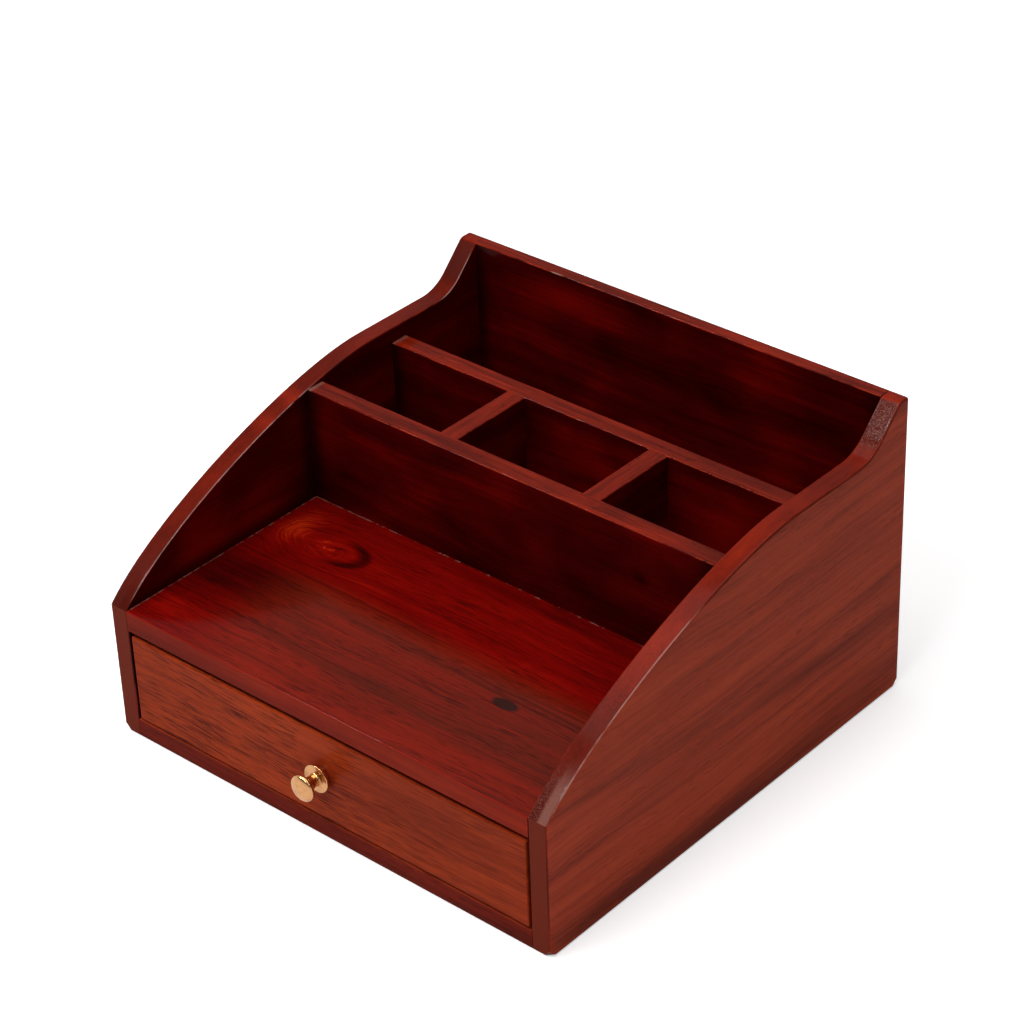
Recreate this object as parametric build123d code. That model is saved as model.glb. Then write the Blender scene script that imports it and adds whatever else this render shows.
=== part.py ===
from build123d import *
from math import cos, radians, sin
import os

# Desk organiser in stained hardwood: a drawer under an open tray, three pen
# compartments behind the tray, and one letter compartment along the back.
# Origin: centre of the carcass footprint, on the surface that it stands on.
# +X to the right, +Y to the back, +Z up. Millimetres.

# Carcass
width = 250.0
depth = 241.0
back_height = 150.0
side_thickness = 10.0
back_thickness = 7.0
bottom_thickness = 9.5
shelf_thickness = 10.5
opening_height = 47.5

# Top edge of a side panel: a long sweep from the front up to the shoulder,
# then a cove and a steep rise to the crest at the back
shoulder_setback = 79.0
rise_angle = 47.0
rise_handle = 41.5
shoulder_handle = 44.0
crest_rise = 19.5
crest_run = 19.5
crest_flat = 6.5
cove_radius = 22.0
crest_radius = 4.0

# Dividers
divider_thickness = 9.5
front_divider_drop = 6.5
rear_divider_drop = 7.5
pen_depth = 46.0
letter_depth = 50.0
cross_divider_thickness = 10.0
left_pen_width = 70.5
right_pen_width = 68.5

# Softened edges
outer_arris = 1.2
inner_arris = 0.8
divider_arris = 0.6
shelf_arris = 0.5
drawer_arris = 0.8
corner_ease = 4.0

# Dowels of the carcass
dowel_diameter = 4.0
dowel_reach = 13.0
dowel_skin = 4.0
dowel_clearance = 0.05
board_dowel_margin = 30.0
divider_dowel_margin = 9.0
back_dowel_margin = 24.0

# Drawer
drawer_front_thickness = 10.0
drawer_side_thickness = 8.0
drawer_back_thickness = 8.0
drawer_bottom_thickness = 3.0
front_gap_side = 1.4
front_gap_top = 2.4
front_gap_bottom = 1.1
running_gap = 0.3
side_drop = 3.0
drawer_lip = 4.0
groove_depth = 4.0
groove_height = 4.0
groove_clearance = 0.1

# Panel pins of the drawer
pin_diameter = 1.4
pin_head_diameter = 2.6
pin_head_thickness = 0.7
pin_length = 20.0
pin_point = 1.5
pin_clearance = 0.05
pin_margin = 10.0
bottom_pin_margin = 36.0

# Turned brass knob, from its foot on the drawer front out to its face
knob_lift = 0.9
knob_foot_diameter = 10.0
knob_foot_height = 2.2
knob_disc_diameter = 13.4
knob_disc_thickness = 1.6
knob_neck_diameter = 5.4
knob_neck_length = 4.2
knob_flare_radius = 1.6
knob_shoulder_step = 1.2
knob_throat_radius = 0.6
knob_head_diameter = 12.2
knob_cone_height = 3.1
knob_rim_height = 0.8
knob_dome_height = 2.1
knob_rim_rounding = 1.0
knob_softening = 0.5

# Machine screw that holds the knob
screw_diameter = 4.0
screw_bite = 5.0
screw_head_diameter = 8.0
screw_head_height = 2.6
screw_head_softening = 0.9
screw_slot_width = 1.0
screw_slot_depth = 1.2
screw_clearance = 0.1

# Places that follow from the sizes
front_y = -depth / 2
back_y = depth / 2
inner_x = width / 2 - side_thickness
back_face_y = back_y - back_thickness
shelf_bottom = bottom_thickness + opening_height
shelf_top = shelf_bottom + shelf_thickness
shoulder_height = back_height - crest_rise
rear_divider_y = back_face_y - letter_depth - divider_thickness
front_divider_y = rear_divider_y - pen_depth - divider_thickness
pen_y = front_divider_y + divider_thickness
front_divider_top = shoulder_height - front_divider_drop
rear_divider_top = shoulder_height - rear_divider_drop
drawer_x = inner_x - front_gap_side
drawer_inner_x = drawer_x - drawer_side_thickness
drawer_low = bottom_thickness + running_gap
drawer_high = shelf_bottom - side_drop
drawer_end_y = back_face_y - running_gap
front_low = bottom_thickness + front_gap_bottom
front_high = shelf_bottom - front_gap_top
front_inner_y = front_y + drawer_front_thickness
rebate_y = front_y + drawer_lip
groove_low = drawer_low + groove_height
groove_high = groove_low + drawer_bottom_thickness + 2 * groove_clearance
panel_high = groove_high - groove_clearance
drawer_back_y = drawer_end_y - drawer_back_thickness
knob_seat = (0, front_y, (front_low + front_high) / 2 + knob_lift)

ON_CORNER = (Align.MIN, Align.MIN, Align.MIN)
ON_END = (Align.CENTER, Align.CENTER, Align.MIN)


def board(low, high):
    """Plain board between two opposite corners."""
    size = [b - a for a, b in zip(low, high)]
    return Pos(*low) * Box(*size, align=ON_CORNER)


def rod(start, direction, radius, length):
    """Round rod from a start point along a direction."""
    return Plane(origin=start, z_dir=direction) * Cylinder(radius, length, align=ON_END)


def spread(low, high, count):
    """Evenly spaced places from low to high."""
    step = (high - low) / (count - 1)
    return [low + step * i for i in range(count)]


def edges_at(piece, axis, y, z):
    """Edges of a piece along an axis, picked by where their middle lies."""
    def here(edge):
        middle = edge.center()
        fits_y = y is None or abs(middle.Y - y) < 0.01
        return fits_y and abs(middle.Z - z) < 0.01

    return piece.edges().filter_by(axis).filter_by(here)


def drilled(piece, holes):
    """Piece with a list of holes taken out of it."""
    return piece - holes if holes else piece


# Blind dowels. A seat is the point where a dowel crosses its joint face.
side_reach = side_thickness - dowel_skin
divider_reach = divider_thickness - dowel_skin


def dowel(seat, direction, reach_back, clearance=0.0):
    """Dowel through a seat, or its hole when it is given a clearance."""
    start = Vector(*seat) - Vector(*direction) * (reach_back + clearance)
    length = reach_back + dowel_reach + 2 * clearance
    return rod(start, direction, dowel_diameter / 2 + clearance, length)


def dowel_hole(seat, direction, reach_back):
    """Hole for a dowel."""
    return dowel(seat, direction, reach_back, dowel_clearance)


def end_dowels(seats, sides=(-1, 1), make=dowel):
    """Dowels, or their holes, across the ends of a board between the sides."""
    return [
        make((side * inner_x, y, z), (-side, 0, 0), side_reach)
        for side in sides
        for y, z in seats
    ]


def divider_levels(top):
    """Heights of the two dowels in each joint of a divider."""
    return (shelf_top + divider_dowel_margin, top - divider_dowel_margin)


def divider_seats(face_y, top):
    """Dowel places in the end of a divider."""
    return [(face_y + divider_thickness / 2, z) for z in divider_levels(top)]


board_ys = spread(front_y + board_dowel_margin, back_face_y - board_dowel_margin, 3)
back_levels = spread(back_dowel_margin, back_height - back_dowel_margin, 3)
bottom_seats = [(y, bottom_thickness / 2) for y in board_ys]
shelf_seats = [(y, shelf_bottom + shelf_thickness / 2) for y in board_ys]
back_seats = [(back_y - back_thickness / 2, z) for z in back_levels]
front_divider_seats = divider_seats(front_divider_y, front_divider_top)
rear_divider_seats = divider_seats(rear_divider_y, rear_divider_top)
side_seats = bottom_seats + shelf_seats + back_seats + front_divider_seats + rear_divider_seats
left_cross_x = -inner_x + left_pen_width
right_cross_x = inner_x - right_pen_width - cross_divider_thickness
cross_xs = [x + cross_divider_thickness / 2 for x in (left_cross_x, right_cross_x)]


def cross_dowels(face_y, toward, make=dowel):
    """Dowels, or their holes, between one divider and both cross dividers."""
    return [
        make((x, face_y, z), (0, toward, 0), divider_reach)
        for x in cross_xs
        for z in divider_levels(rear_divider_top)
    ]


# Carcass
def side_outline():
    """Outline of a side panel, with Y across and Z up."""
    start = (front_y, shelf_top)
    shoulder = (back_y - shoulder_setback, shoulder_height)
    foot = (back_y - crest_flat - crest_run, shoulder_height)
    crest = (back_y - crest_flat, back_height)
    angle = radians(rise_angle)
    rise = (start[0] + rise_handle * cos(angle), start[1] + rise_handle * sin(angle))
    ease = (shoulder[0] - shoulder_handle, shoulder_height)
    sweep = Bezier(start, rise, ease, shoulder)
    rest = Polyline(shoulder, foot, crest, (back_y, back_height), (back_y, 0), (front_y, 0), start)
    face = make_face([sweep, rest])
    face = fillet(face.vertices().sort_by_distance(foot)[:1], cove_radius)
    return fillet(face.vertices().sort_by_distance(crest)[:1], crest_radius)


def corner_block(side, end):
    """Block that eases a bottom corner of a side panel, with equal legs."""
    leg_end = (side * (width / 2 - corner_ease), end * depth / 2, 0)
    cut = Plane(origin=leg_end, z_dir=(side, end, -1))
    reach = 4 * corner_ease
    return cut * Box(reach, reach, reach, align=ON_END)


def is_eased(face):
    """True for the slanting face at an eased bottom corner."""
    normal = face.normal_at()
    flat = face.geom_type == GeomType.PLANE
    return flat and normal.Z < -0.1 and abs(normal.X) > 0.1 and abs(normal.Y) > 0.1


def side_panel(side):
    """Side panel: side is -1 for the left one and 1 for the right one."""
    inner_face = Plane(origin=(side * inner_x, 0, 0), x_dir=(0, 1, 0), z_dir=(1, 0, 0))
    panel = extrude(inner_face * side_outline(), side * side_thickness)
    panel -= [corner_block(side, end) for end in (-1, 1)]
    rim = panel.faces().sort_by(Axis.X)[-1 if side > 0 else 0].edges()
    for face in panel.faces().filter_by(is_eased):
        rim += face.edges()
    rim += edges_at(panel, Axis.X, None, 0)
    rim += edges_at(panel, Axis.X, back_y, back_height)
    panel = fillet(ShapeList(set(rim)), outer_arris)
    inner = panel.faces().sort_by(Axis.X)[0 if side > 0 else -1]
    top_edge = inner.edges().filter_by(
        lambda edge: edge.center().Z > shelf_top and edge.center().Y < back_face_y
    )
    panel = fillet(top_edge, inner_arris)
    return drilled(panel, end_dowels(side_seats, (side,), dowel_hole))


def back_panel():
    """Back panel, full height between the sides."""
    panel = board((-inner_x, back_face_y, 0), (inner_x, back_y, back_height))
    outer = edges_at(panel, Axis.X, back_y, 0) + edges_at(panel, Axis.X, back_y, back_height)
    panel = fillet(outer, outer_arris)
    panel = fillet(edges_at(panel, Axis.X, back_face_y, back_height), inner_arris)
    return drilled(panel, end_dowels(back_seats, make=dowel_hole))


def bottom_board():
    """Bottom board, which the drawer runs on."""
    plank = board((-inner_x, front_y, 0), (inner_x, back_face_y, bottom_thickness))
    plank = fillet(edges_at(plank, Axis.X, front_y, 0), outer_arris)
    return drilled(plank, end_dowels(bottom_seats, make=dowel_hole))


def shelf_board():
    """Shelf board: floor of the tray and compartments, roof over the drawer."""
    plank = board((-inner_x, front_y, shelf_bottom), (inner_x, back_face_y, shelf_top))
    front_edges = edges_at(plank, Axis.X, front_y, shelf_top)
    front_edges += edges_at(plank, Axis.X, front_y, shelf_bottom)
    plank = fillet(front_edges, shelf_arris)
    return drilled(plank, end_dowels(shelf_seats, make=dowel_hole))


def divider(face_y, top, end_seats, cross_holes):
    """Long divider on the shelf, from side to side."""
    piece = board((-inner_x, face_y, shelf_top), (inner_x, face_y + divider_thickness, top))
    piece = fillet(edges_at(piece, Axis.X, None, top), divider_arris)
    return drilled(piece, end_dowels(end_seats, make=dowel_hole) + cross_holes)


def cross_divider(low_x):
    """Short divider between the two long ones."""
    high_x = low_x + cross_divider_thickness
    piece = board((low_x, pen_y, shelf_top), (high_x, rear_divider_y, rear_divider_top))
    piece = fillet(edges_at(piece, Axis.Y, None, rear_divider_top), divider_arris)
    return drilled(piece, front_cross_holes + rear_cross_holes)


front_cross_holes = cross_dowels(pen_y, 1, dowel_hole)
rear_cross_holes = cross_dowels(rear_divider_y, -1, dowel_hole)


# Drawer
def panel_pin(seat, direction, clearance=0.0):
    """Panel pin with its head flush at a seat, or its hole with a clearance."""
    shank = pin_diameter / 2 + clearance
    straight = pin_length - pin_point
    pin = Cylinder(pin_head_diameter / 2 + clearance, pin_head_thickness + clearance, align=ON_END)
    pin += Cylinder(shank, straight, align=ON_END)
    pin += Pos(0, 0, straight) * Cone(shank, shank / 4, pin_point + clearance, align=ON_END)
    return Plane(origin=seat, z_dir=direction) * pin


def pin_hole(seat, direction):
    """Hole that a panel pin fills."""
    return panel_pin(seat, direction, pin_clearance)


def corner_pins(y, low_z, high_z, make=panel_pin):
    """Two pins, or their holes, through each drawer side at one joint."""
    levels = (low_z + pin_margin, high_z - pin_margin)
    return [make((side * drawer_x, y, z), (-side, 0, 0)) for side in (-1, 1) for z in levels]


def front_pins(make=panel_pin):
    """Pins through the sides into the shoulders of the drawer front."""
    return corner_pins((rebate_y + front_inner_y) / 2, front_low, front_high, make)


def rear_pins(make=panel_pin):
    """Pins through the sides into the ends of the drawer back."""
    return corner_pins(drawer_end_y - drawer_back_thickness / 2, panel_high, drawer_high, make)


def bottom_pins(make=panel_pin):
    """Pins up through the drawer bottom into the drawer back."""
    y = drawer_end_y - drawer_back_thickness / 2
    z = groove_low + groove_clearance
    reach = drawer_inner_x - bottom_pin_margin
    return [make((x, y, z), (0, 0, 1)) for x in spread(-reach, reach, 3)]


def drawer_front():
    """Drawer front, rebated at its ends and grooved for the bottom."""
    piece = board((-drawer_x, front_y, front_low), (drawer_x, front_inner_y, front_high))
    piece = fillet(piece.faces().sort_by(Axis.Y)[0].edges(), drawer_arris)
    cuts = [
        board((drawer_inner_x, rebate_y, front_low), (drawer_x, front_inner_y, front_high)),
        board((-drawer_x, rebate_y, front_low), (-drawer_inner_x, front_inner_y, front_high)),
        board(
            (-drawer_inner_x, front_inner_y - groove_depth, groove_low),
            (drawer_inner_x, front_inner_y, groove_high),
        ),
        rod(knob_seat, (0, 1, 0), screw_diameter / 2 + screw_clearance, drawer_front_thickness),
    ]
    return drilled(piece, cuts + front_pins(pin_hole))


def drawer_side(side):
    """Drawer side: side is -1 for the left one and 1 for the right one."""
    inner = side * drawer_inner_x
    low_x, high_x = sorted((inner, side * drawer_x))
    piece = board((low_x, rebate_y, drawer_low), (high_x, drawer_end_y, drawer_high))
    low_x, high_x = sorted((inner, inner + side * groove_depth))
    groove = board((low_x, rebate_y, groove_low), (high_x, drawer_end_y, groove_high))
    return drilled(piece, [groove] + front_pins(pin_hole) + rear_pins(pin_hole))


def drawer_back():
    """Drawer back, which stands on the drawer bottom between the sides."""
    low = (-drawer_inner_x, drawer_back_y, panel_high)
    piece = board(low, (drawer_inner_x, drawer_end_y, drawer_high))
    return drilled(piece, rear_pins(pin_hole) + bottom_pins(pin_hole))


def drawer_bottom():
    """Thin drawer bottom, slid into its grooves from behind."""
    reach = drawer_inner_x + groove_depth - groove_clearance
    start_y = front_inner_y - groove_depth + groove_clearance
    low = (-reach, start_y, groove_low + groove_clearance)
    return drilled(board(low, (reach, drawer_end_y, panel_high)), bottom_pins(pin_hole))


def knob():
    """Turned knob, revolved round the axis that stands out of the drawer front."""
    bore = screw_diameter / 2 + screw_clearance
    bore_end = screw_bite + screw_clearance
    foot = knob_foot_diameter / 2
    disc = knob_disc_diameter / 2
    neck = knob_neck_diameter / 2
    shoulder = neck + knob_shoulder_step
    head = knob_head_diameter / 2
    disc_low = knob_foot_height
    disc_high = disc_low + knob_disc_thickness
    neck_high = disc_high + knob_neck_length
    rim_low = neck_high + knob_cone_height
    rim_high = rim_low + knob_rim_height
    crown = (0, rim_high + knob_dome_height)
    stem = Polyline(
        (0, bore_end), (bore, bore_end), (bore, 0), (foot, 0), (foot, disc_low), (disc, disc_low),
        (disc, disc_high), (neck, disc_high), (neck, neck_high), (shoulder, neck_high), (head, rim_low),
        (head, rim_high)
    )
    dome = TangentArc(crown, (head, rim_high), tangent=(1, 0))
    axis = Line(crown, (0, bore_end))
    profile = make_face([stem, dome, axis])
    flare = [(neck, disc_high)]
    throat = [(neck, neck_high)]
    rim = [(head, rim_high)]
    arrises = [(foot, disc_low), (disc, disc_low), (disc, disc_high), (shoulder, neck_high), (head, rim_low)]
    rounds = (
        (flare, knob_flare_radius), (throat, knob_throat_radius), (rim, knob_rim_rounding),
        (arrises, knob_softening)
    )
    for corners, radius in rounds:
        for corner in corners:
            profile = fillet(profile.vertices().sort_by_distance(corner)[:1], radius)
    turned = revolve(Plane.XZ * profile, Axis.Z)
    return Plane(origin=knob_seat, z_dir=(0, -1, 0)) * turned


def knob_screw():
    """Slotted machine screw from inside the drawer into the knob."""
    head = Cylinder(screw_head_diameter / 2, screw_head_height, align=ON_END)
    head = fillet(head.edges().sort_by(Axis.Z)[-1:], screw_head_softening)
    slot_low = screw_head_height - screw_slot_depth
    slot = Box(screw_head_diameter, screw_slot_width, screw_slot_depth, align=ON_END)
    head -= Pos(0, 0, slot_low) * slot
    shank_length = drawer_front_thickness + screw_bite
    shank = Pos(0, 0, -shank_length) * Cylinder(screw_diameter / 2, shank_length, align=ON_END)
    seat = (knob_seat[0], front_inner_y, knob_seat[2])
    return Plane(origin=seat, z_dir=(0, 1, 0)) * (head + shank)


front_divider = divider(front_divider_y, front_divider_top, front_divider_seats, front_cross_holes)
rear_divider = divider(rear_divider_y, rear_divider_top, rear_divider_seats, rear_cross_holes)

nodes = {
    "side_panel_left": side_panel(-1),
    "side_panel_right": side_panel(1),
    "back_panel": back_panel(),
    "bottom_board": bottom_board(),
    "shelf_board": shelf_board(),
    "front_divider": front_divider,
    "rear_divider": rear_divider,
    "cross_divider_left": cross_divider(left_cross_x),
    "cross_divider_right": cross_divider(right_cross_x),
    "bottom_board_dowels": end_dowels(bottom_seats),
    "shelf_board_dowels": end_dowels(shelf_seats),
    "back_panel_dowels": end_dowels(back_seats),
    "front_divider_dowels": end_dowels(front_divider_seats),
    "rear_divider_dowels": end_dowels(rear_divider_seats),
    "cross_divider_dowels": cross_dowels(pen_y, 1) + cross_dowels(rear_divider_y, -1),
    "drawer_front": drawer_front(),
    "drawer_side_left": drawer_side(-1),
    "drawer_side_right": drawer_side(1),
    "drawer_back": drawer_back(),
    "drawer_bottom": drawer_bottom(),
    "drawer_pins": front_pins() + rear_pins() + bottom_pins(),
    "drawer_knob": knob(),
    "knob_screw": knob_screw(),
}

os.makedirs("parts", exist_ok=True)
for name, piece in nodes.items():
    solids = piece if isinstance(piece, list) else piece.solids()
    shape = Compound(children=solids) if len(solids) > 1 else solids[0]
    export_step(shape, f"parts/{name}.step")
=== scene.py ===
import math

import bmesh
import bpy
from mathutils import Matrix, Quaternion, Vector


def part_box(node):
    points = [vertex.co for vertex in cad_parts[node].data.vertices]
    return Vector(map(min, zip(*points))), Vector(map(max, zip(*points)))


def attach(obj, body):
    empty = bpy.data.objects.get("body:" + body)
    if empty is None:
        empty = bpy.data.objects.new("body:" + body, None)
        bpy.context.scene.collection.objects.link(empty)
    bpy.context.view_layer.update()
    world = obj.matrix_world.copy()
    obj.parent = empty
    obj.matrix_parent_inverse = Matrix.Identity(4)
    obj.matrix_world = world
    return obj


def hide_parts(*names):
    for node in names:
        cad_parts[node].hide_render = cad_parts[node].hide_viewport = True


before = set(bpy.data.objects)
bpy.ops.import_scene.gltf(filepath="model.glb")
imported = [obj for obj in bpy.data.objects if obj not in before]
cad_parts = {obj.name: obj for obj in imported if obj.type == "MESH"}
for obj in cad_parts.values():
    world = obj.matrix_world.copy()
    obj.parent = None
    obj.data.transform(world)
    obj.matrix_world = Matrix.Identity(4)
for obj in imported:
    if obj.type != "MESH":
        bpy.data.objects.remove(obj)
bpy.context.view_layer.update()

# ---------------------------------------------------------------- sizes

# Sizes are in metres. Only the places, reaches and hearts that a board's wood is given are in mm.
mm = 0.001

side_low, side_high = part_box("side_panel_right")
shelf_low, shelf_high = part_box("shelf_board")
divider_low, divider_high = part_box("front_divider")
back_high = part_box("back_panel")[1]
knob_low, knob_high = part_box("drawer_knob")

inner_x = side_low.x
side_middle_x = (side_low.x + side_high.x) / 2
tray_top = shelf_high.z
knob_axis = (knob_low + knob_high) / 2


# ---------------------------------------------------------------- shader maths

class Value:
    """A number or a vector in a node tree. Arithmetic on it adds the nodes that work it out."""

    def __init__(self, paint, socket):
        self.paint = paint
        self.socket = socket

    def math(self, operation, first, second=0.0):
        return self.paint.node("ShaderNodeMath", {"operation": operation}, {0: first, 1: second})

    def __add__(self, other):
        return self.math("ADD", self, other)

    def __sub__(self, other):
        return self.math("SUBTRACT", self, other)

    def __rsub__(self, other):
        return self.math("SUBTRACT", other, self)

    def __mul__(self, other):
        return self.math("MULTIPLY", self, other)

    def __truediv__(self, other):
        return self.math("DIVIDE", self, other)

    def __pow__(self, other):
        return self.math("POWER", self, other)

    def __neg__(self):
        return self.math("MULTIPLY", self, -1.0)

    def __abs__(self):
        return self.math("ABSOLUTE", self)

    def larger(self, other):
        return self.math("MAXIMUM", self, other)

    def smaller(self, other):
        return self.math("MINIMUM", self, other)

    def smooth(self, start, end):
        """0 at start and 1 at end, with a soft turn at both."""
        return self.paint.node(
            "ShaderNodeMapRange",
            {"interpolation_type": "SMOOTHSTEP", "clamp": True},
            {"Value": self, "From Min": start, "From Max": end, "To Min": 0.0, "To Max": 1.0},
        )


class Paint:
    """The node tree of a material or of the world."""

    def __init__(self, owner):
        owner.use_nodes = True
        self.owner = owner
        self.tree = owner.node_tree
        self.tree.nodes.clear()

    def node(self, kind, settings=None, inputs=None, output=0):
        """Adds a node with its settings and its inputs' values or links, and gives an output."""
        added = self.tree.nodes.new(kind)
        for name, setting in (settings or {}).items():
            if name == "stops":
                self.set_stops(added.color_ramp, setting)
            else:
                setattr(added, name, setting)
        for name, value in (inputs or {}).items():
            if isinstance(value, Value):
                self.tree.links.new(value.socket, added.inputs[name])
            else:
                added.inputs[name].default_value = value
        return Value(self, added.outputs[output]) if added.outputs else None

    @staticmethod
    def set_stops(ramp, stops):
        """Each stop is a place from 0 to 1 and its colour."""
        while len(ramp.elements) < len(stops):
            ramp.elements.new(1.0)
        for element, (place, colour) in zip(ramp.elements, stops):
            element.position = place
            element.color = (*colour, 1.0)

    def axes(self, source="Object", kind="ShaderNodeTexCoord"):
        """The X, Y and Z of the object's own coordinates, or of another vector."""
        vector = self.node(kind, output=source)
        return [self.node("ShaderNodeSeparateXYZ", inputs={0: vector}, output=i) for i in range(3)]

    def vector(self, x, y, z):
        """One vector of three numbers."""
        return self.node("ShaderNodeCombineXYZ", inputs={0: x, 1: y, 2: z})

    def stretched(self, place, waves, seed):
        """A place counted in waves, and shifted so that each seed has a pattern of its own."""
        if not isinstance(waves, tuple):
            waves = (waves, waves, waves)
        shift = (seed, 1.7 * seed, -0.9 * seed)
        inputs = {0: place, 1: waves, 2: shift}
        return self.node("ShaderNodeVectorMath", {"operation": "MULTIPLY_ADD"}, inputs)

    def noise(self, place, waves, seed=0.0, detail=2.0, roughness=0.5):
        """Soft noise around 0.5, with so many waves a metre along each axis or along all."""
        inputs = {
            "Vector": self.stretched(place, waves, seed),
            "Scale": 1.0,
            "Detail": detail,
            "Roughness": roughness,
        }
        return self.node("ShaderNodeTexNoise", {"noise_dimensions": "3D"}, inputs)

    def cells(self, place, waves, seed=0.0):
        """How far a place is from the middle of its cell, with so many cells a metre."""
        inputs = {"Vector": self.stretched(place, waves, seed), "Scale": 1.0, "Randomness": 1.0}
        settings = {"voronoi_dimensions": "3D", "feature": "F1"}
        return self.node("ShaderNodeTexVoronoi", settings, inputs, output="Distance")

    def line_noise(self, place, waves, seed=0.0, detail=2.0):
        """Soft noise along one number."""
        inputs = {"W": place * waves + seed, "Scale": 1.0, "Detail": detail, "Roughness": 0.55}
        return self.node("ShaderNodeTexNoise", {"noise_dimensions": "1D"}, inputs)

    def ramp(self, value, stops):
        """The colour that a value has between the stops."""
        return self.node("ShaderNodeValToRGB", {"stops": stops}, {0: value})

    def mix(self, factor, first, second):
        """A colour between two colours."""
        colours = {
            key: colour if isinstance(colour, Value) else (*colour, 1.0)
            for key, colour in ((6, first), (7, second))
        }
        settings = {"data_type": "RGBA", "blend_type": "MIX", "clamp_factor": True}
        return self.node("ShaderNodeMix", settings, {0: factor, **colours}, output=2)

    def bump(self, height, strength, distance, under=None):
        """A bumped normal, laid over another one if there is one under it."""
        inputs = {"Height": height, "Strength": strength, "Distance": distance}
        if under is not None:
            inputs["Normal"] = under
        return self.node("ShaderNodeBump", inputs=inputs)

    def finish(self, colour, roughness, normal, **others):
        """Wires the surface. The others are more of its inputs, with _ for a space."""
        inputs = {"Base Color": colour, "Roughness": roughness, "Normal": normal}
        inputs.update({name.replace("_", " "): value for name, value in others.items()})
        surface = self.node("ShaderNodeBsdfPrincipled", inputs=inputs)
        self.node("ShaderNodeOutputMaterial", inputs={"Surface": surface})
        return self.owner


# ---------------------------------------------------------------- wood

# Stain colours, each from its darkest streaks to its lightest.
tray_tones = (
    (0.24, (0.026, 0.0004, 0.0003)),
    (0.40, (0.070, 0.0006, 0.0004)),
    (0.52, (0.116, 0.0010, 0.0005)),
    (0.66, (0.175, 0.0024, 0.0008)),
    (0.92, (0.360, 0.0190, 0.0024)),
)
inner_tones = (
    (0.20, (0.005, 0.0002, 0.0002)),
    (0.38, (0.025, 0.0003, 0.0002)),
    (0.52, (0.056, 0.0005, 0.0004)),
    (0.76, (0.160, 0.0020, 0.0008)),
)
outer_tones = (
    (0.24, (0.150, 0.0170, 0.0060)),
    (0.42, (0.262, 0.0300, 0.0100)),
    (0.56, (0.335, 0.0400, 0.0125)),
    (0.80, (0.430, 0.0560, 0.0160)),
)
edge_tones = (
    (0.24, (0.042, 0.0028, 0.0010)),
    (0.44, (0.096, 0.0062, 0.0018)),
    (0.58, (0.160, 0.0095, 0.0026)),
    (0.82, (0.290, 0.0200, 0.0044)),
)
drawer_tones = (
    (0.24, (0.140, 0.0140, 0.0030)),
    (0.42, (0.232, 0.0240, 0.0050)),
    (0.56, (0.300, 0.0335, 0.0065)),
    (0.80, (0.400, 0.0500, 0.0095)),
)
# Nearly black: open pores, dark grain lines and nicks, and painted shade in corners and along an
# arris.
pore_and_shade_black = (0.010, 0.0008, 0.0006)
end_brown = (0.135, 0.0150, 0.0050)
slope_brown = (0.055, 0.0060, 0.0035)
# painted sheen and glints on bare end grain
painted_glint_colour = (0.300, 0.1300, 0.1000)
worn_edge = (0.300, 0.0220, 0.0060)
# the pale colour of a painted highlight line on an arris
painted_highlight_colour = (0.520, 0.3300, 0.2900)
old_glue = (0.200, 0.1100, 0.0850)
# the pale colour of a painted reflection haze on the tray
painted_haze_colour = (0.340, 0.1400, 0.0400)
oval_knot = (0.0150, 0.0050, 0.0035)
tray_lip = (0.240, 0.0060, 0.0014)
drawer_pore = (0.030, 0.0030, 0.0020)

# Plain wood: the drawer's box, its plywood bottom and the beech dowels.
box_tones = (
    (0.3, (0.150, 0.040, 0.016)),
    (0.5, (0.260, 0.085, 0.036)),
    (0.7, (0.360, 0.140, 0.064)),
)
box_pore = (0.060, 0.018, 0.008)
veneer_tones = (
    (0.3, (0.300, 0.170, 0.085)),
    (0.5, (0.460, 0.290, 0.160)),
    (0.7, (0.560, 0.390, 0.240)),
)
veneer_pore = (0.170, 0.085, 0.040)
beech_tones = (
    (0.3, (0.420, 0.270, 0.150)),
    (0.7, (0.620, 0.440, 0.270)),
)
beech_fleck = (0.250, 0.130, 0.060)

# The lacquer: how much of it there is, how much more where it is glossy, and how it mirrors.
film = 0.046
glossy_film = 0.03
film_index = 1.9
film_roughness = 0.12
wood_shine = 0.01

axis_names = "XYZ"


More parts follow.
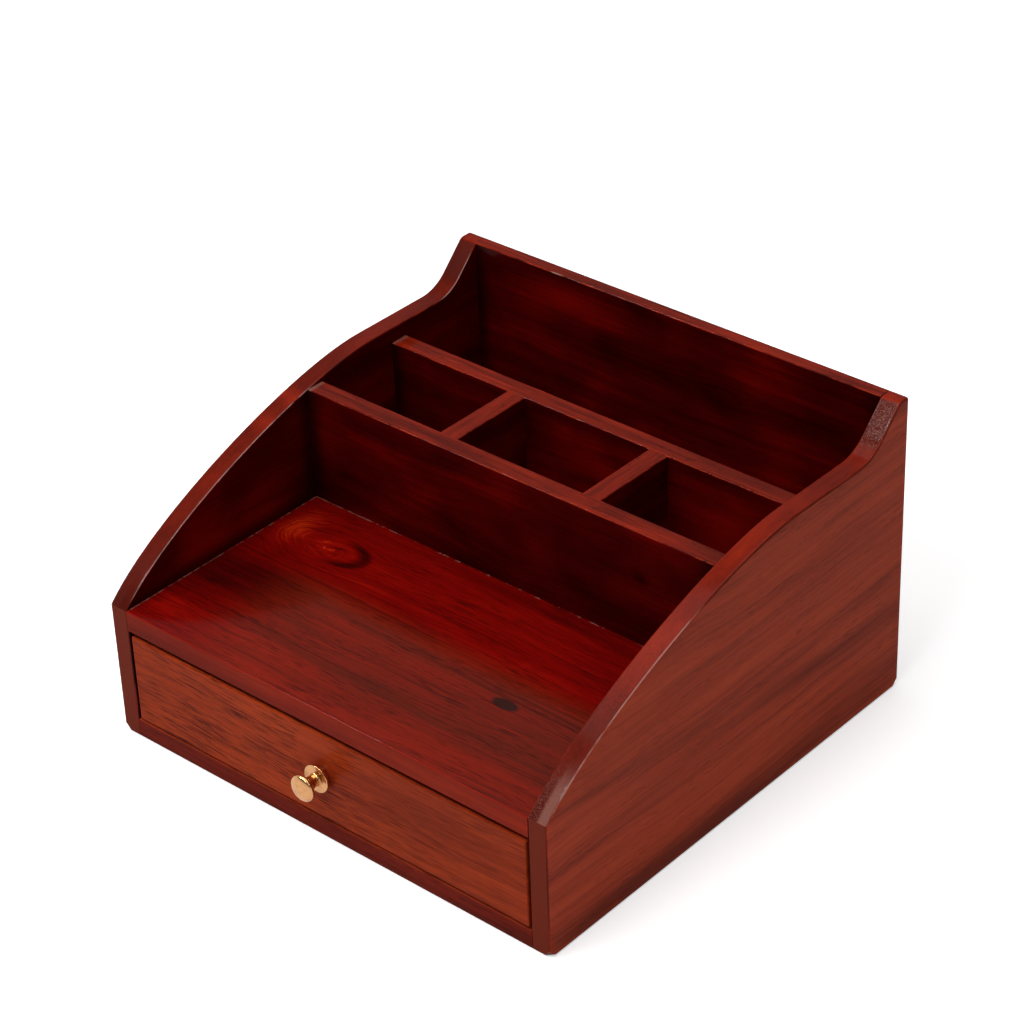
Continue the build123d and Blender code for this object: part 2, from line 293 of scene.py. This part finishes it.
class Board:
    """The wood of one board: its grain runs along one axis, and its figure bends with its rings.

    heart is where the middle of the tree stood, across and through the board. The grain flows round
    the eyes, each a place and its reach. A place is (along, across). All of these are in mm.
    """

    def __init__(self, name, grain, across, seed, heart, eyes=()):
        self.paint = Paint(bpy.data.materials.new(name))
        self.seed = seed
        x_y_z = self.paint.axes()
        through = ({"X", "Y", "Z"} - {grain, across}).pop()
        self.along = x_y_z[axis_names.index(grain)]
        self.across = x_y_z[axis_names.index(across)]
        self.through = x_y_z[axis_names.index(through)]
        self.x, self.y, self.z = x_y_z
        normal = self.paint.axes("Normal", "ShaderNodeNewGeometry")
        self.normal = dict(zip(axis_names, (abs(n) for n in normal)))
        self.end_grain = self.normal[grain]
        self.place = self.paint.vector(*x_y_z)
        straight = self.paint.vector(self.along, self.across, self.through)
        sway = self.paint.noise(straight, (5.0, 12.0, 12.0), seed, detail=1.0) - 0.5
        quiver = self.paint.noise(straight, (30.0, 60.0, 60.0), seed + 3.1, detail=1.0) - 0.5
        bent = self.across + sway * (14 * mm) + quiver * (2.4 * mm)
        for place, reach in eyes:
            bent = bent - (self.across - place[1] * mm) * self.spot(place, reach) * 0.85
        self.grown = self.paint.vector(self.along, bent, self.through)
        heart_across, heart_through = (part * mm for part in heart)
        self.ring = ((bent - heart_across) ** 2.0 + (self.through - heart_through) ** 2.0) ** 0.5

    def off(self, place, reach):
        """How many reaches away from a place. Both are (along, across) in mm."""
        along = ((self.along - place[0] * mm) / (reach[0] * mm)) ** 2.0
        across = ((self.across - place[1] * mm) / (reach[1] * mm)) ** 2.0
        return (along + across) ** 0.5

    def spot(self, place, reach):
        """A soft oval patch, 1 at its middle."""
        falling = -(self.off(place, reach) ** 2.0)
        return self.paint.node("ShaderNodeMath", {"operation": "EXPONENT"}, {0: falling})

    def marked(self, tone, marks):
        """The tone, lighter or darker in soft patches: each is (place, reach, how much lighter)."""
        for place, reach, strength in marks:
            tone = tone + self.spot(place, reach) * strength
        return tone

    def figure(self, ring_width, rings=0.10, bands=0.16, streaks=0.12, fibres=0.14, clouds=0.0):
        """The light and dark of the grain, around 0.5, and clouds where the stain took unevenly."""
        paint, seed = self.paint, self.seed
        ring = paint.line_noise(self.ring, 1 / ring_width, seed, detail=3.0)
        band = paint.noise(self.grown, (5.0, 46.0, 46.0), seed + 5.3)
        streak = paint.noise(self.grown, (9.0, 240.0, 240.0), seed + 8.9)
        fibre = paint.noise(self.grown, (30.0, 900.0, 900.0), seed + 1.2, roughness=0.6)
        tone = (ring - 0.5) * (2 * rings) + (band - 0.5) * (2 * bands) + 0.5
        tone = tone + (streak - 0.5) * (2 * streaks) + (fibre - 0.5) * (2 * fibres)
        if clouds:
            cloud = paint.noise(self.grown, (22.0, 34.0, 34.0), seed + 13.0)
            tone = tone + (cloud - 0.5) * (2 * clouds)
        return tone

    def pores(self, length, width, size):
        """Short open pores along the grain: 1 in a pore. They come in crowds."""
        waves = (1 / length, 1 / width, 1 / width)
        crowd = self.paint.noise(self.grown, (22.0, 130.0, 130.0), self.seed + 4.4, detail=1.0)
        off = self.paint.cells(self.grown, waves, self.seed + 11.7)
        return (off - (crowd - 0.5) * 0.5).smooth(size + 0.10, size - 0.10)

    def arris(self, flat_axis):
        """1 on the rounded edges of the face that looks along that axis."""
        across_edge = self.normal[flat_axis]
        return across_edge.smooth(0.12, 0.45) * across_edge.smooth(0.97, 0.80)


def lacquered(board, colour, pores, shine=None, rubbed=None):
    """Gloss lacquer, sunk over the pores of stained wood.

    It is as thick as shine where that is given, and gone where rubbed is 1.
    """
    paint = board.paint
    peel = paint.noise(board.place, 800.0, board.seed, detail=1.0)
    ripple = paint.noise(board.place, 120.0, board.seed + 2.0, detail=1.0)
    surface = paint.bump(ripple, 0.10, 1.0 * mm)
    surface = paint.bump(peel, 0.22, 0.10 * mm, surface)
    surface = paint.bump(1.0 - pores, 0.4, 0.08 * mm, surface)
    gloss = paint.noise(board.grown, (14.0, 90.0, 90.0), board.seed + 6.6)
    coat = (gloss * glossy_film + film) * (1.0 - board.normal["Y"].smooth(0.8, 1.0) * 0.25)
    if rubbed is not None:
        coat = coat * (1.0 - rubbed)
    if shine is not None:
        coat = coat.larger(shine)
    return paint.finish(
        colour,
        gloss * 0.16 + pores * 0.2 + 0.30,
        surface,
        Coat_Weight=coat,
        Coat_IOR=film_index,
        Coat_Roughness=film_roughness,
        Specular_IOR_Level=wood_shine,
    )


def tray_wood():
    """The shelf board with the tray: an eye with a dark crescent, a blaze and an oval knot."""
    eye_place, eye_reach = (-76, -29), (14, 7.5)
    bend_reach = (22, 12)
    board = Board("tray_wood", "X", "Y", seed=4.2, heart=(60, -40), eyes=[(eye_place, bend_reach)])
    paint = board.paint
    off_eye = board.off(eye_place, eye_reach)
    curled = board.spot((-100, -25), (13, 20)) * off_eye.smooth(1.0, 1.5)
    wander = paint.noise(board.place, 70.0, seed=2.0)
    curls = paint.line_noise(off_eye + wander * 0.9, 8.0, seed=5.0, detail=3.0)
    straight = board.figure(6 * mm, rings=0.08, bands=0.12, streaks=0.08, fibres=0.16, clouds=0.08)
    figure = straight * (1.0 - curled) + (curls * 0.7 + 0.15) * curled
    tone = board.marked(figure, (
        # the blaze left of the eye
        ((-104, -25), (8, 14), 0.30),
        ((-90, -27), (12, 8), 0.05),
        ((-94, -12), (12, 5), 0.06),
        # the front left corner, with a dark field behind it
        ((-100, -105), (16, 6), 0.14),
        ((-98, -74), (22, 20), -0.17),
        ((-78, -62), (22, 12), -0.10),
        # long light streaks
        ((-30, -40), (46, 3), 0.08),
        ((66, -44), (40, 2.5), 0.10),
        ((20, -17), (16, 2.5), 0.08),
        ((-40, -103), (44, 3), 0.10),
        ((20, -72), (80, 14), 0.05),
        # darker along the front divider and to the right
        ((30, -7), (90, 5), -0.06),
        ((95, -55), (30, 60), -0.05),
    ))
    eye = off_eye.smooth(1.1, 0.5)
    tone = tone + (paint.line_noise(off_eye, 4.0, seed=2.0, detail=3.0) - 0.5) * eye * 0.5
    crescent = off_eye.smooth(0.75, 1.10) * off_eye.smooth(1.5, 1.20)
    tone = tone - crescent * (board.along - eye_place[0] * mm).smooth(-4 * mm, 10 * mm) * 0.28
    flecks = paint.noise(board.place, (300.0, 420.0, 420.0), seed=6.0).smooth(0.50, 0.62)
    tone = tone + flecks * board.spot((-80, -30), (8, 5)) * 0.22
    colour = paint.ramp(tone, tray_tones)
    # painted reflection: a faint pale haze over the front of the tray
    painted_haze = board.y.smooth(-44 * mm, -60 * mm) * board.x.smooth(-95 * mm, -50 * mm)
    colour = paint.mix(painted_haze * 0.045, colour, painted_haze_colour)
    oval = board.off((59, -69.4), (7.0, 3.4)).smooth(1.15, 0.75)
    colour = paint.mix(oval * 0.9, colour, oval_knot)
    pores = board.pores(15 * mm, 0.7 * mm, 0.22)
    fine = board.pores(8 * mm, 0.5 * mm, 0.20)
    colour = paint.mix((pores * 0.7).larger(fine * 0.45), colour, pore_and_shade_black)
    lines = paint.noise(board.grown, (6.0, 420.0, 420.0), seed=9.0).smooth(0.56, 0.68)
    colour = paint.mix(lines * board.y.smooth(-20 * mm, -45 * mm) * 0.45, colour, pore_and_shade_black)
    front = paint.ramp(board.figure(9 * mm, clouds=0.06) + 0.05, edge_tones)
    colour = paint.mix(board.normal["Y"].smooth(0.6, 0.95), colour, front)
    front_arris = board.arris("Y") * board.y.smooth(shelf_low.y + 4 * mm, shelf_low.y + 2 * mm)
    upper = board.z.smooth(tray_top - 3 * mm, tray_top - 2 * mm)
    colour = paint.mix(front_arris * upper * 0.8, colour, tray_lip)
    top = board.normal["Z"].smooth(0.9, 0.97)
    crumbs = paint.noise(board.place, 300.0, seed=2.0, detail=3.0)
    side_joint = board.x.smooth(-inner_x + 0.9 * mm, -inner_x + 0.4 * mm)
    rear_joint = board.y.smooth(divider_low.y - 0.9 * mm, divider_low.y - 0.4 * mm)
    thick = board.x.smooth(-40 * mm, -80 * mm)
    glue = (side_joint + rear_joint * thick).smaller(1.0) * crumbs.smooth(0.40, 0.60)
    glue = glue.larger(rear_joint * crumbs.smooth(0.55, 0.64))
    near_corner = board.spot((-inner_x / mm, divider_low.y / mm), (9, 9))
    colour = paint.mix(glue * top * (near_corner * 0.4 + 0.5), colour, old_glue)
    return lacquered(board, colour, pores)


def side_wood(name, seed, heart, outside, inside, edge, shining, bared, sparkle):
    """A side panel: its outer face, its inner face and its curved edge, with the marks of each.

    A painted highlight line lies along shining: from one place on Y to another, on the arris of one
    side.
    In front of bared, a place on Y, the edge has lost its lacquer; sparkle sets its painted sheen
    and glints.
    """
    board = Board(name, "Y", "Z", seed, heart)
    paint = board.paint
    figure = board.figure(7 * mm, rings=0.16, bands=0.28, streaks=0.22, fibres=0.20)
    outer = paint.ramp(board.marked(figure, outside), outer_tones)
    mottled = board.figure(9 * mm, rings=0.06, bands=0.10, streaks=0.06, fibres=0.08, clouds=0.26)
    inner = paint.ramp(board.marked(mottled, inside), inner_tones)
    curved = paint.ramp(board.marked(mottled, edge), edge_tones)
    face = board.normal["X"].smooth(0.5, 0.9)
    outward = abs(board.x).smooth(side_middle_x - 1 * mm, side_middle_x + 1 * mm)
    # painted shade: the inner face goes dark in the corner by the front divider and low down by the
    # tray
    before_divider = (board.y - divider_low.y).smooth(-11 * mm, -2 * mm)
    corner = before_divider * board.y.smooth(divider_low.y + 1 * mm, divider_low.y)
    foot = board.z.smooth(tray_top + 9 * mm, tray_top + 1 * mm)
    inner = paint.mix(corner.larger(foot) * 0.75, inner, pore_and_shade_black)
    colour = paint.mix(face, curved, paint.mix(outward, inner, outer))
    pores = board.pores(9 * mm, 0.6 * mm, 0.20)
    colour = paint.mix(pores * 0.45, colour, pore_and_shade_black)
    steep = board.end_grain * (1.0 - face)
    bare = steep.smooth(0.40, 0.70) * board.normal["Z"].smooth(0.10, 0.25)
    bare = bare * board.y.smooth(bared, bared - 24 * mm).larger(board.y.smooth(90 * mm, 100 * mm))
    colour = paint.mix(bare * 0.85, colour, slope_brown)
    # painted highlight: a pale sheen on the bare edge near its outer side
    painted_sheen = bare * outward * board.y.smooth(-94 * mm, -108 * mm)
    colour = paint.mix(painted_sheen * sparkle, colour, painted_glint_colour)
    colour = paint.mix(steep.smooth(0.97, 0.995), colour, end_brown)
    grains = paint.noise(board.place, 2200.0, seed + 7.0)
    # painted glints: pale points on the bare edge, where the coat is also thicker
    glint_specks = grains.smooth(0.50, 0.66) * bare
    colour = paint.mix(glint_specks * sparkle * 0.7, colour, painted_glint_colour)
    wear = paint.noise(board.place, 60.0, seed + 4.0, detail=3.0)
    arris = board.arris("X")
    colour = paint.mix(arris * wear.smooth(0.50, 0.66) * 0.4, colour, worn_edge)
    # painted highlight: a pale line along one arris, and along the inner cove, where the coat is
    # also thicker
    line = board.normal["X"].smooth(0.40, 0.55) * board.normal["X"].smooth(0.90, 0.76)
    (start, stop), side = shining
    line = line * (outward if side == "outer" else 1.0 - outward)
    cove = board.y.smooth(86 * mm, 94 * mm) * board.y.smooth(111 * mm, 107 * mm) * (1.0 - outward)
    stretch = board.y.smooth(stop + 16 * mm, stop) * board.y.smooth(start, start + 6 * mm)
    line = line * stretch.larger(cove)
    line = line * (1.0 - board.end_grain.smooth(0.97, 0.99)) * wear.smooth(0.30, 0.48)
    colour = paint.mix(line * 0.4, colour, painted_highlight_colour)
    shadowed = board.normal["X"].smooth(0.55, 0.70) * board.normal["X"].smooth(0.98, 0.90)
    shadowed = shadowed * outward * board.y.smooth(stop, stop + 20 * mm)
    colour = paint.mix(shadowed * 0.7, colour, pore_and_shade_black)
    return lacquered(board, colour, pores, (glint_specks * sparkle).larger(line * 0.3), bare)


def inner_wood(
    name, grain, seed, heart, marks=(), eyes=(), top_marks=(), filler=None, outer_face=None
):
    """A board inside the stand: deep red faces, and a lighter, rubbed top edge with worn arrises.

    filler is a patch of old glue: its place, its reach, the surfaces it is on and its strength.
    Past outer_face, a place on Y, the board is as light as the outer faces are.
    """
    board = Board(name, grain, "Z", seed, heart, eyes)
    paint = board.paint
    figure = board.figure(8 * mm, rings=0.12, bands=0.10, streaks=0.07, fibres=0.10, clouds=0.28)
    colour = paint.ramp(board.marked(figure, marks), inner_tones)
    # painted shade: darker over the last 10 mm towards the side panels
    corner = abs(board.x).smooth(inner_x - 10 * mm, inner_x - 1 * mm)
    colour = paint.mix(corner * 0.75, colour, pore_and_shade_black)
    if outer_face is not None:
        plain = board.figure(7 * mm, rings=0.13, bands=0.20, streaks=0.20, fibres=0.18)
        outward = board.y.smooth(outer_face, outer_face + 0.5 * mm)
        colour = paint.mix(outward, colour, paint.ramp(plain, outer_tones))
    upward = board.normal["Z"].smooth(0.55, 0.9)
    rubbed = board.figure(5 * mm, rings=0.12, bands=0.18, streaks=0.24, fibres=0.28, clouds=0.16)
    rubbed = rubbed - 0.03
    colour = paint.mix(upward, colour, paint.ramp(board.marked(rubbed, top_marks), edge_tones))
    pores = board.pores(8 * mm, 0.6 * mm, 0.18)
    colour = paint.mix(pores * 0.4, colour, pore_and_shade_black)
    wear = paint.noise(board.place, 80.0, seed + 4.0, detail=3.0)
    arris = board.arris("Z") * board.z.smooth(divider_high.z - 30 * mm, divider_high.z - 10 * mm)
    colour = paint.mix(arris * wear.smooth(0.40, 0.60) * 0.7, colour, worn_edge)
    nicks = paint.noise(board.place, 420.0, seed + 9.0, detail=1.0).smooth(0.60, 0.66)
    colour = paint.mix(arris.larger(upward * 0.3) * nicks * wear.smooth(0.50, 0.60), colour, pore_and_shade_black)
    if filler:
        place, reach, surfaces, strength = filler
        ragged = board.off(place, reach) + (wear - 0.5) * 1.2
        where = arris if surfaces == "arris" else upward.larger(arris)
        colour = paint.mix(ragged.smooth(1.3, 0.4) * where * strength, colour, old_glue)
    return lacquered(board, colour, pores)


def bottom_wood():
    """The bottom board: a stained front edge, and faces that took less stain."""
    board = Board("bottom_wood", "X", "Y", seed=8.3, heart=(20, -90))
    paint = board.paint
    colour = paint.ramp(board.figure(7 * mm, bands=0.20, clouds=0.10), outer_tones)
    edge = paint.ramp(board.figure(9 * mm, clouds=0.06), edge_tones)
    colour = paint.mix(board.normal["Y"].smooth(0.3, 0.7), colour, edge)
    pores = board.pores(12 * mm, 0.7 * mm, 0.24)
    colour = paint.mix(pores * 0.6, colour, pore_and_shade_black)
    return lacquered(board, colour, pores)


def drawer_front_wood():
    """The drawer front: lighter, with many fine open pores that grow sparser to the right."""
    board = Board("drawer_front_wood", "X", "Z", seed=7.7, heart=(20, -160))
    paint = board.paint
    figure = board.figure(5 * mm, rings=0.10, bands=0.14, streaks=0.16, fibres=0.16) + 0.02
    tone = board.marked(figure, (
        ((-60, 40), (50, 12), 0.06),
        ((40, 45), (50, 7), -0.06),
        ((70, 30), (55, 50), -0.13),
        ((80, 18), (40, 8), 0.04),
    ))
    colour = paint.ramp(tone, drawer_tones)
    clear = board.off((-4, 44), (10, 13)).smooth(0.8, 1.2)
    sparser = board.along.smooth(-10 * mm, 60 * mm) * -0.5 + 1.0
    pores = board.pores(22 * mm, 0.46 * mm, 0.31) * clear
    fine = board.pores(10 * mm, 0.36 * mm, 0.30) * clear
    dark = (pores * 0.95).larger(fine * 0.7) * sparser
    colour = paint.mix(dark, colour, drawer_pore)
    return lacquered(board, colour, pores, rubbed=board.arris("Y"))


def box_wood(name, grain, seed):
    """The drawer's planed inner boards, thinly stained and without gloss."""
    board = Board(name, grain, "Z", seed, heart=(30, 120))
    paint = board.paint
    colour = paint.ramp(board.figure(5 * mm), box_tones)
    pores = board.pores(8 * mm, 0.9 * mm, 0.22)
    colour = paint.mix(pores * 0.5, colour, box_pore)
    surface = paint.bump(board.figure(3 * mm) - pores, 0.3, 0.15 * mm)
    return paint.finish(colour, pores * 0.1 + 0.58, surface)


def plywood():
    """The drawer's thin bottom: a pale face veneer with open figure."""
    board = Board("plywood", "X", "Y", seed=9.1, heart=(20, -90))
    paint = board.paint
    colour = paint.ramp(board.figure(6 * mm, rings=0.30), veneer_tones)
    pores = board.pores(10 * mm, 1.1 * mm, 0.22)
    colour = paint.mix(pores * 0.35, colour, veneer_pore)
    surface = paint.bump(1.0 - pores, 0.3, 0.1 * mm)
    return paint.finish(colour, pores * 0.1 + 0.62, surface)


def dowel_wood():
    """Pale beech pins, with the flecks that beech has."""
    board = Board("dowel_wood", "X", "Y", seed=2.4, heart=(20, -90))
    paint = board.paint
    colour = paint.ramp(board.figure(2 * mm), beech_tones)
    flecks = board.pores(2 * mm, 0.4 * mm, 0.24)
    colour = paint.mix(flecks * 0.5, colour, beech_fleck)
    return paint.finish(colour, flecks * 0.1 + 0.6, paint.bump(1.0 - flecks, 0.3, 0.05 * mm))


# ---------------------------------------------------------------- metal

def turned_metal(name, colour, dull, roughness, rings):
    """Metal turned on a lathe: fine rings about the knob's axis, and a trace of dull tarnish."""
    paint = Paint(bpy.data.materials.new(name))
    x, y, z = paint.axes()
    from_axis = ((x - knob_axis.x) ** 2.0 + (z - knob_axis.z) ** 2.0) ** 0.5
    lathe = paint.line_noise(from_axis + y * 0.7, 5200.0, seed=1.0)
    tarnish = paint.noise(paint.vector(x, y, z), 260.0, seed=3.0, detail=3.0)
    tone = paint.mix(tarnish.smooth(0.42, 0.72), colour, dull)
    surface = paint.bump(lathe, rings, 0.02 * mm)
    return paint.finish(tone, lathe * 0.05 + tarnish * 0.08 + roughness, surface, Metallic=1.0)


bevel_steps = 6
turning_steps = 96
sharp_angle = math.radians(35)


def turned_knob(metal):
    """The drawer knob with its full round head: corners, softened and turned round the axis."""
    # Each corner's radius, its distance out from the drawer front and its softening, in mm.
    corners = (
        (0.0, 5.1, 0.0), (2.1, 5.1, 0.0), (2.1, 0.0, 0.0), (5.0, 0.0, 0.0), (5.0, 2.2, 0.3),
        (6.7, 2.2, 0.4), (6.7, 3.8, 0.4), (2.9, 3.8, 1.2), (2.9, 9.2, 0.4), (4.7, 9.4, 0.9),
        (6.4, 10.8, 0.8), (6.3, 12.3, 0.7), (4.5, 13.5, 1.0), (2.0, 13.96, 1.0), (0.0, 14.0, 0.0),
    )
    lathe = bmesh.new()
    outline = [lathe.verts.new((radius * mm, -out * mm, 0.0)) for radius, out, soft in corners]
    for first, second in zip(outline, outline[1:]):
        lathe.edges.new((first, second))
    bmesh.ops.subdivide_edges(lathe, edges=lathe.edges[:], cuts=1)
    for radius, out, soft in corners:
        if soft:
            place = Vector((radius, -out, 0.0)) * mm
            corner = min(lathe.verts, key=lambda vert: (vert.co - place).length)
            bmesh.ops.bevel(
                lathe, geom=[corner], offset=soft * mm, offset_type="OFFSET", segments=bevel_steps,
                profile=0.5, affect="VERTICES", material=-1,
            )
    bmesh.ops.spin(
        lathe, geom=lathe.verts[:] + lathe.edges[:], cent=(0.0, 0.0, 0.0), axis=(0.0, 1.0, 0.0),
        angle=2 * math.pi, steps=turning_steps, use_merge=True,
    )
    bmesh.ops.remove_doubles(lathe, verts=lathe.verts[:], dist=0.01 * mm)
    bmesh.ops.recalc_face_normals(lathe, faces=lathe.faces[:])
    bmesh.ops.translate(lathe, verts=lathe.verts[:], vec=(knob_axis.x, knob_high.y, knob_axis.z))
    for face in lathe.faces:
        face.smooth = True
    mesh = bpy.data.meshes.new("turned_knob")
    lathe.to_mesh(mesh)
    lathe.free()
    mesh.set_sharp_from_angle(angle=sharp_angle)
    mesh.materials.append(metal)
    knob = bpy.data.objects.new("turned_knob", mesh)
    bpy.context.scene.collection.objects.link(knob)
    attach(knob, "drawer")
    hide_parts("drawer_knob")


# ---------------------------------------------------------------- finishes on the pieces

def give(material, *names):
    """One finish for the named pieces."""
    for name in names:
        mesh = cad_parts[name].data
        mesh.materials.clear()
        mesh.materials.append(material)


# A reach past both faces of any board, in mm.
whole_width = 400

give(
    side_wood(
        "side_wood_right", seed=1.3, heart=(20, -60),
        outside=(
            ((60, 45), (40, 4), -0.14),
            ((-20, 49), (45, 3), -0.12),
            ((71, 54), (22, 5), 0.10),
            ((-30, 6), (100, 10), -0.24),
            ((80, 22), (50, 12), -0.10),
            ((90, 118), (30, 25), -0.04),
        ),
        inside=(),
        edge=(
            ((-50, 90), (30, whole_width), 0.10),
            ((10, 125), (60, whole_width), 0.08),
            ((114, 150), (5, whole_width), 0.12),
        ),
        shining=((-118 * mm, -34 * mm), "outer"),
        bared=-88 * mm,
        sparkle=0.45,
    ),
    "side_panel_right",
)
give(
    side_wood(
        "side_wood_left", seed=5.9, heart=(30, 60),
        outside=(),
        inside=(
            ((-68, 79), (24, 12), 0.24),
            ((-36, 88), (24, 14), 0.10),
            ((80, 118), (20, 8), 0.10),
        ),
        edge=(
            ((-9, 120), (5, whole_width), 0.20),
            ((-26, 110), (6, whole_width), 0.16),
            ((-80, 90), (40, whole_width), -0.06),
            ((30, 130), (30, whole_width), -0.02),
            ((114, 150), (5, whole_width), 0.12),
        ),
        shining=((-119 * mm, -10 * mm), "inner"),
        bared=-96 * mm,
        sparkle=0.03,
    ),
    "side_panel_left",
)
give(tray_wood(), "shelf_board")
give(
    inner_wood(
        "back_wood", "X", seed=2.2, heart=(60, 190),
        marks=(
            ((-50, 138), (60, 8), 0.08),
            ((0, 118), (120, 8), -0.06),
            ((60, 130), (30, 8), 0.06),
        ),
        eyes=[((30, 120), (24, 9))],
        filler=((-65.5, 149.8), (3.4, 1.0), "arris", 0.9),
        outer_face=back_high.y - 2 * mm,
    ),
    "back_panel",
)
give(bottom_wood(), "bottom_board")
give(
    inner_wood(
        "front_divider_wood", "X", seed=3.4, heart=(110, -40),
        marks=(
            ((76, 101), (4, 3), -0.16),
            ((-90, 100), (22, 18), 0.06),
            ((86, 84), (26, 12), 0.06),
        ),
        eyes=[
            ((60, 112), (16, 7)),
            ((-6, 92), (34, 14)),
        ],
        filler=((-115, 124), (2.0, 3), "top", 0.4),
    ),
    "front_divider",
)
give(
    inner_wood(
        "rear_divider_wood", "X", seed=6.5, heart=(60, 120),
        marks=(
            ((-80, 105), (34, 18), -0.06),
            ((84, 105), (30, 18), 0.12),
            ((0, 105), (30, 18), 0.06),
        ),
        eyes=[((-98, 109), (11, 8))],
        top_marks=(((-60, 123), (60, whole_width), 0.08),),
        filler=((-115, 123), (2.2, 3), "top", 0.3),
    ),
    "rear_divider",
)
give(inner_wood("cross_divider_wood_left", "Y", seed=1.9, heart=(60, 30)), "cross_divider_left")
give(inner_wood("cross_divider_wood_right", "Y", seed=9.6, heart=(60, 30)), "cross_divider_right")
give(drawer_front_wood(), "drawer_front")
give(box_wood("drawer_side_wood", "Y", seed=3.8), "drawer_side_left", "drawer_side_right")
give(box_wood("drawer_back_wood", "X", seed=5.1), "drawer_back")
give(plywood(), "drawer_bottom")
give(dowel_wood(), *(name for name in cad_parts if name.endswith("_dowels")))

brass_colour = (0.700, 0.360, 0.158)
brass_dull = (0.470, 0.220, 0.085)
turned_knob(turned_metal("brass", brass_colour, brass_dull, roughness=0.13, rings=0.10))
steel_colour = (0.620, 0.610, 0.590)
steel_dull = (0.380, 0.370, 0.360)
give(
    turned_metal("steel", steel_colour, steel_dull, roughness=0.25, rings=0.2),
    "knob_screw", "drawer_pins",
)


# ---------------------------------------------------------------- floor, light and camera

floor_width = 8.0
floor_greys = ((0.80, 0.80, 0.80), (0.83, 0.83, 0.83))
floor_lift = 0.42
dome_strength = 0.16
backdrop_strength = 0.72
white_light = (1.0, 1.0, 1.0, 1.0)
stand_middle = Vector((0.0, 0.0, 70 * mm))

sensor_width = 36.0
focal_length = 108.36
camera_place = Vector((753.9, -827.0, 819.9)) * mm
azimuth = math.radians(42.197)
elevation = math.radians(32.635)
roll = math.radians(-2.266)


def studio_floor():
    """A pale floor that keeps the stand's soft shadow, and reads as white to the camera."""
    bpy.ops.mesh.primitive_plane_add(size=floor_width, location=(0.0, 0.0, 0.0))
    floor = bpy.context.object
    floor.name = "floor"
    paint = Paint(bpy.data.materials.new("floor_white"))
    seen = paint.node("ShaderNodeLightPath", output="Is Camera Ray")
    seen = seen + paint.node("ShaderNodeLightPath", output="Is Transmission Ray")
    place = paint.vector(*paint.axes())
    mottle = paint.noise(place, 3.0, seed=1.0)
    colour = paint.mix(mottle, *floor_greys)
    matt = paint.node("ShaderNodeBsdfDiffuse", inputs={"Color": colour})
    glow = seen.smaller(1.0) * floor_lift
    lift = paint.node("ShaderNodeEmission", inputs={"Color": white_light, "Strength": glow})
    both = paint.node("ShaderNodeAddShader", inputs={0: matt, 1: lift})
    paint.node("ShaderNodeOutputMaterial", inputs={"Surface": both})
    floor.data.materials.append(paint.owner)


def studio_world():
    """A soft grey dome, which the camera sees as white.

    Metal and gloss see a white backdrop too: low all round, and high behind the stand.
    """
    world = bpy.data.worlds.new("studio")
    bpy.context.scene.world = world
    paint = Paint(world)
    x, y, height = paint.axes("Generated")
    low = height.smooth(0.34, 0.16)
    behind = (y - x).smooth(0.10, 0.70) * height.smooth(0.86, 0.66) * backdrop_strength
    camera_ray = paint.node("ShaderNodeLightPath", output="Is Camera Ray")
    glossy_ray = paint.node("ShaderNodeLightPath", output="Is Glossy Ray")
    clear_ray = paint.node("ShaderNodeLightPath", output="Is Transmission Ray")
    white = camera_ray.larger((glossy_ray + clear_ray).smaller(1.0) * low.larger(behind))
    dome = {"Color": white_light, "Strength": dome_strength}
    backdrop = {"Color": white_light, "Strength": 1.0}
    light = paint.node("ShaderNodeBackground", inputs=dome)
    seen = paint.node("ShaderNodeBackground", inputs=backdrop)
    surface = paint.node("ShaderNodeMixShader", inputs={0: white, 1: light, 2: seen})
    paint.node("ShaderNodeOutputWorld", inputs={"Surface": surface})


def softbox(name, direction, distance, width, height, radiance):
    """A rectangular soft light that looks at the stand, of that brightness whatever its size."""
    lamp = bpy.data.lights.new(name, "AREA")
    lamp.shape = "RECTANGLE"
    lamp.size = width
    lamp.size_y = height
    lamp.energy = radiance * math.pi * width * height
    holder = bpy.data.objects.new(name, lamp)
    bpy.context.scene.collection.objects.link(holder)
    toward = Vector(direction).normalized()
    holder.location = stand_middle + toward * distance
    holder.rotation_euler = toward.to_track_quat("Z", "Y").to_euler()


def photo_camera():
    """The camera at the photo's angle."""
    lens = bpy.data.cameras.new("camera")
    lens.sensor_width = sensor_width
    lens.lens = focal_length
    camera = bpy.data.objects.new("camera", lens)
    bpy.context.scene.collection.objects.link(camera)
    camera.location = camera_place
    look = Vector((
        -math.sin(azimuth) * math.cos(elevation),
        math.cos(azimuth) * math.cos(elevation),
        -math.sin(elevation),
    ))
    upright = look.to_track_quat("-Z", "Y")
    camera.rotation_euler = (upright @ Quaternion((0.0, 0.0, 1.0), roll)).to_euler()
    bpy.context.scene.camera = camera


studio_floor()
studio_world()
softbox("overhead_softbox", (-0.05, 0.05, 1.0), distance=1.3, width=1.5, height=1.2, radiance=2.2)
softbox("front_softbox", (-0.05, -0.55, 0.83), distance=1.4, width=1.0, height=0.10, radiance=30.0)
softbox("left_softbox", (-0.57, -0.42, 0.71), distance=1.5, width=0.16, height=0.16, radiance=55.0)
softbox("right_softbox", (0.60, -0.25, 0.75), distance=1.5, width=0.06, height=0.9, radiance=12.0)
photo_camera()

bpy.context.scene.view_settings.view_transform = "Standard"
